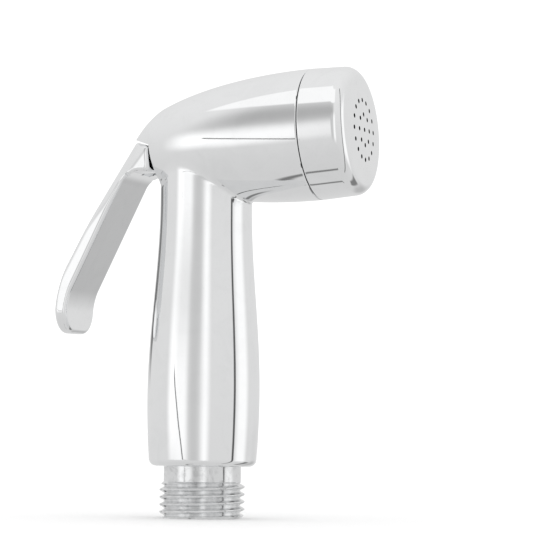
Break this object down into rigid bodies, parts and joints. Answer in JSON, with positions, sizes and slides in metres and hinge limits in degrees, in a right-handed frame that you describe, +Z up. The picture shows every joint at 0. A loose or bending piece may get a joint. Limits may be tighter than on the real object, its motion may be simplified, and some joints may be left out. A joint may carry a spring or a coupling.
{
  "type": "handheld bidet shower",
  "caption": "Chrome handheld bidet shower with a drilled spray face, a waisted handle, a squeeze lever and a pipe-thread inlet at the foot.",
  "frame": {"origin": "centre of the inlet's end face, at the foot of the handle", "axes": "+Z up along the handle, +X the way the spray leaves, Y across; the part is mirrored about the XZ plane"},
  "size_m": [0.0779, 0.032, 0.1102],
  "materials": {
    "chrome": "polished",
    "brass": "turned",
    "steel": "satin",
    "rubber": "matte",
    "plastic": "matte"
  },
  "bodies": {
    "handset": {"body": "chrome", "inlet_nipple": "chrome", "nipple_o_ring": "rubber", "inlet_strainer": "plastic", "gland_bush": "brass", "gland_o_ring": "rubber", "stem_o_ring": "rubber", "spring_washer": "steel", "return_spring": "steel", "valve_seat": "brass", "seat_o_ring": "rubber", "flow_disc": "plastic", "spray_cap": "chrome", "cap_o_ring": "rubber"},
    "lever": {"lever": "chrome", "pivot_pin": "steel"},
    "valve": {"valve_stem": "brass", "washer_holder": "brass", "valve_washer": "rubber", "washer_screw": "steel"}
  },
  "joints": [
    {"name": "lever_squeeze", "type": "hinge", "parent": "handset", "child": "lever", "pos_m": [-0.01419, 0, 0.08695], "axis": [0, -1, 0], "range_deg": [0, 18], "stiffness_Nm_per_rad": 0.2, "springref_deg": -2.86},
    {"name": "stem_pull", "type": "slide", "parent": "handset", "child": "valve", "axis": [-0.9976, 0, -0.0698], "range_m": [0, 0.0013], "deforming": ["return_spring"]}
  ],
  "couplings": [
    {"joint": "stem_pull", "follows": "lever_squeeze", "m_per_rad": 0.00402}
  ]
}
